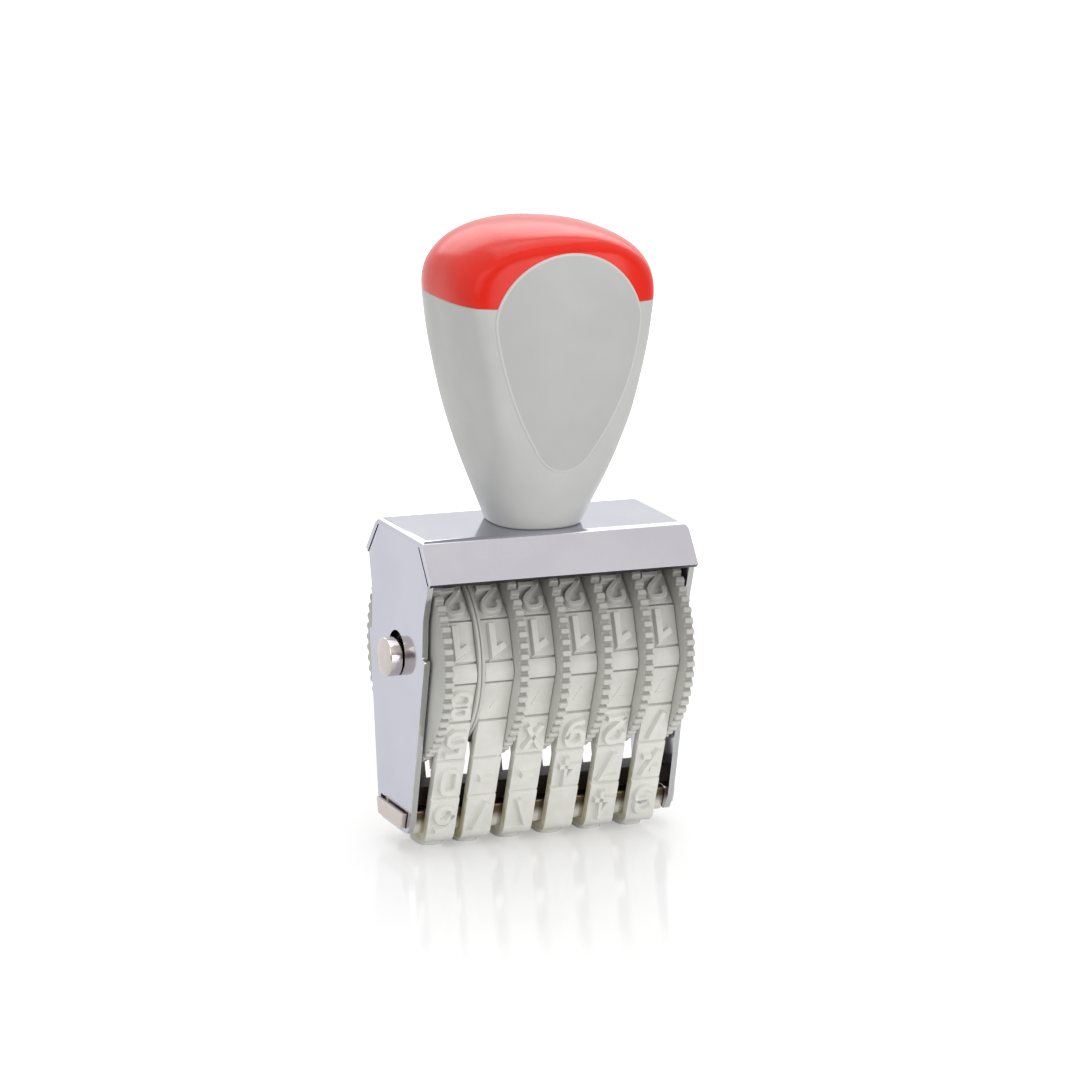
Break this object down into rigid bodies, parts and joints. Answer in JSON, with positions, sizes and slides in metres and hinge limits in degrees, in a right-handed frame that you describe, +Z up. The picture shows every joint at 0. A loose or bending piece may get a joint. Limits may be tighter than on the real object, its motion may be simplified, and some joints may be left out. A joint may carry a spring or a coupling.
{
  "type": "hand numbering stamp",
  "caption": "Hand numbering stamp: rubber digit bands in a folded metal frame, each driven by a toothed thumb wheel on a common axle, under an upright two-colour plastic handle.",
  "frame": {"origin": "middle of the printing plane, where the raised digits meet the paper", "axes": "+X along the wheel axle, -Y the front, +Z up the handle"},
  "size_m": [0.0514, 0.0348, 0.102],
  "materials": {
    "chromed_sheet": "polished, slightly satin",
    "axle_metal": "bright nickel",
    "platen_metal": "satin",
    "washer_metal": "zinc plated",
    "insert_brass": "machined",
    "handle_plastic": "semi gloss light grey",
    "panel_plastic": "fine matt light grey",
    "cap_plastic": "high gloss red",
    "wheel_plastic": "satin light grey",
    "band_rubber": "smooth light grey rubber"
  },
  "bodies": {
    "stamp": {"frame_shell": "chromed_sheet", "axle": "axle_metal", "platen": "platen_metal", "left_side_washer": "washer_metal", "right_side_washer": "washer_metal", "handle_insert": "insert_brass", "screw_washer": "washer_metal", "handle_screw": "washer_metal", "handle_body": "handle_plastic", "handle_cap": "cap_plastic", "front_panel": "panel_plastic", "rear_panel": "panel_plastic", "rubber_band_1": "band_rubber", "rubber_band_2": "band_rubber", "rubber_band_3": "band_rubber", "rubber_band_4": "band_rubber", "rubber_band_5": "band_rubber", "rubber_band_6": "band_rubber"},
    "wheel_1": {"thumb_wheel_1": "wheel_plastic"},
    "wheel_2": {"thumb_wheel_2": "wheel_plastic"},
    "wheel_3": {"thumb_wheel_3": "wheel_plastic"},
    "wheel_4": {"thumb_wheel_4": "wheel_plastic"},
    "wheel_5": {"thumb_wheel_5": "wheel_plastic"},
    "wheel_6": {"thumb_wheel_6": "wheel_plastic"}
  },
  "joints": [
    {"name": "wheel_1_turn", "type": "hinge", "parent": "stamp", "child": "wheel_1", "pos_m": [-0.01825, 0, 0.0315], "axis": [1, 0, 0], "continuous": true},
    {"name": "wheel_2_turn", "type": "hinge", "parent": "stamp", "child": "wheel_2", "pos_m": [-0.01095, 0, 0.0315], "axis": [1, 0, 0], "continuous": true},
    {"name": "wheel_3_turn", "type": "hinge", "parent": "stamp", "child": "wheel_3", "pos_m": [-0.00365, 0, 0.0315], "axis": [1, 0, 0], "continuous": true},
    {"name": "wheel_4_turn", "type": "hinge", "parent": "stamp", "child": "wheel_4", "pos_m": [0.00365, 0, 0.0315], "axis": [1, 0, 0], "continuous": true},
    {"name": "wheel_5_turn", "type": "hinge", "parent": "stamp", "child": "wheel_5", "pos_m": [0.01095, 0, 0.0315], "axis": [1, 0, 0], "continuous": true},
    {"name": "wheel_6_turn", "type": "hinge", "parent": "stamp", "child": "wheel_6", "pos_m": [0.01825, 0, 0.0315], "axis": [1, 0, 0], "continuous": true}
  ]
}
